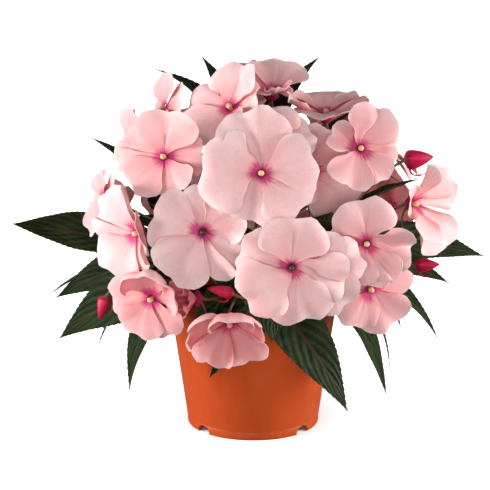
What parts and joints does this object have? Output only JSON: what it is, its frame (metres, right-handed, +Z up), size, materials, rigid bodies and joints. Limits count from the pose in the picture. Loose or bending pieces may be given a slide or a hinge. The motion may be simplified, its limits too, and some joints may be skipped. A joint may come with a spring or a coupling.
{
  "type": "potted flowering plant",
  "caption": "Round bushy bedding plant with flat five-petalled pale pink flowers over pointed dark leaves, in a tapered plastic pot with a notched foot.",
  "frame": {"origin": "middle of the pot's foot, on the surface it stands on, which is also the middle of the bounding box's underside", "axes": "+Z up out of the pot, -Y towards the pictured front, +X to the right as pictured"},
  "size_m": [0.3192, 0.2397, 0.2518],
  "materials": {
    "pot_plastic": "injection-moulded plastic, terracotta orange, soft sheen",
    "potting_mix": "dark crumbly potting mix",
    "leaf": "dark green leaves and stems, satin",
    "petal": "pale pink petals with a crimson throat, matt",
    "bud": "deep crimson buds, satin"
  },
  "bodies": {
    "root": {"pot": "pot_plastic", "soil": "potting_mix", "bloom_01": "petal", "bloom_02": "petal", "bloom_03": "petal", "bloom_04": "petal", "bloom_05": "petal", "bloom_06": "petal", "bloom_07": "petal", "bloom_08": "petal", "bloom_09": "petal", "bloom_10": "petal", "bloom_11": "petal", "bloom_12": "petal", "bloom_13": "petal", "bloom_14": "petal", "bloom_15": "petal", "bloom_16": "petal", "bloom_17": "petal", "bloom_18": "petal", "bloom_19": "petal", "bloom_20": "petal", "bloom_21": "petal", "bloom_22": "petal", "bloom_23": "petal", "bloom_24": "petal", "bloom_25": "petal", "bloom_26": "petal", "bloom_27": "petal", "bloom_28": "petal", "bloom_29": "petal", "bloom_30": "petal", "bloom_31": "petal", "bloom_32": "petal", "bloom_33": "petal", "bud_01": "bud", "bud_02": "bud", "bud_03": "bud", "bud_04": "bud", "bud_05": "bud", "bud_06": "bud", "shoot_centre": "leaf", "shoot_front": "leaf", "shoot_front_right": "leaf", "shoot_right": "leaf", "shoot_back_right": "leaf", "shoot_back_left": "leaf", "shoot_left": "leaf", "shoot_front_left": "leaf"}
  },
  "joints": []
}
